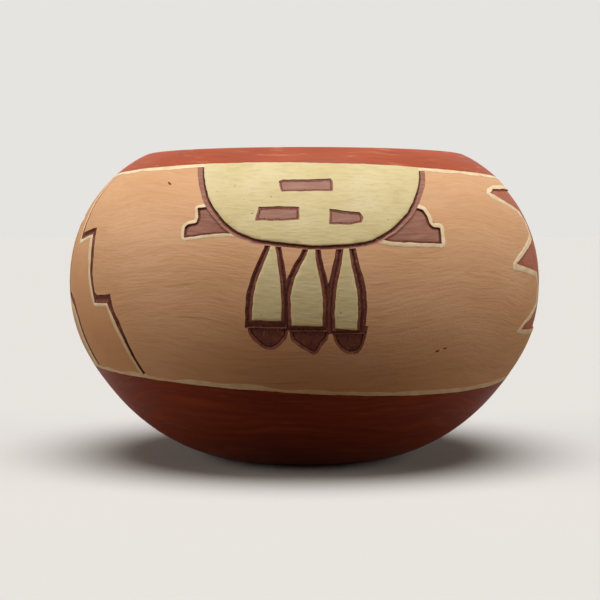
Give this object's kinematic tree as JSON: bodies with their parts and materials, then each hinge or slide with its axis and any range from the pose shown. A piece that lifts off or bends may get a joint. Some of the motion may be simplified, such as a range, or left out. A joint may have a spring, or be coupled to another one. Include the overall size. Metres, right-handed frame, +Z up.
{
  "type": "pottery bowl",
  "caption": "Wide round-shouldered pottery bowl with a narrow flat foot and an open mouth, carved round its band and dressed with coloured clay slips.",
  "frame": {"origin": "centre of the flat foot, on the surface that the bowl stands on", "axes": "+Z up through the mouth, front with the half-round sun and its feathers towards -Y, toothed field towards +X, stepped line towards -X"},
  "size_m": [0.152, 0.1524, 0.0979],
  "materials": {
    "clay": "matt unglazed fired clay, scraped",
    "red_slip": "red clay slip, stone-burnished to a soft shine",
    "cream_slip": "matt cream slip",
    "mauve_slip": "matt mauve-brown slip in carved recesses",
    "brown_slip": "matt dark red-brown slip in carved grooves"
  },
  "bodies": {
    "root": {"clay_body": "clay", "rim_coat": "red_slip", "base_coat": "red_slip", "tooth_field": "red_slip", "upper_border": "cream_slip", "lower_border": "cream_slip", "front_step_line": "cream_slip", "back_step_line": "cream_slip", "inner_step_line": "cream_slip", "tooth_line": "cream_slip", "front_sun_face": "cream_slip", "front_cloud_line_left": "cream_slip", "front_cloud_line_right": "cream_slip", "front_feather_left": "cream_slip", "front_feather_middle": "cream_slip", "front_feather_right": "cream_slip", "back_sun_face": "cream_slip", "back_cloud_line_left": "cream_slip", "back_cloud_line_right": "cream_slip", "back_feather_left": "cream_slip", "back_feather_middle": "cream_slip", "back_feather_right": "cream_slip", "front_step_outline": "brown_slip", "back_step_outline": "brown_slip", "inner_step_outline": "brown_slip", "front_sun_outline": "brown_slip", "front_feather_outline_left": "brown_slip", "front_feather_outline_middle": "brown_slip", "front_feather_outline_right": "brown_slip", "back_sun_outline": "brown_slip", "back_feather_outline_left": "brown_slip", "back_feather_outline_middle": "brown_slip", "back_feather_outline_right": "brown_slip", "front_bar_top": "mauve_slip", "front_bar_left": "mauve_slip", "front_bar_right": "mauve_slip", "front_cloud_left": "mauve_slip", "front_cloud_right": "mauve_slip", "front_feather_tip_left": "mauve_slip", "front_feather_tip_middle": "mauve_slip", "front_feather_tip_right": "mauve_slip", "back_bar_top": "mauve_slip", "back_bar_left": "mauve_slip", "back_bar_right": "mauve_slip", "back_cloud_left": "mauve_slip", "back_cloud_right": "mauve_slip", "back_feather_tip_left": "mauve_slip", "back_feather_tip_middle": "mauve_slip", "back_feather_tip_right": "mauve_slip"}
  },
  "joints": []
}
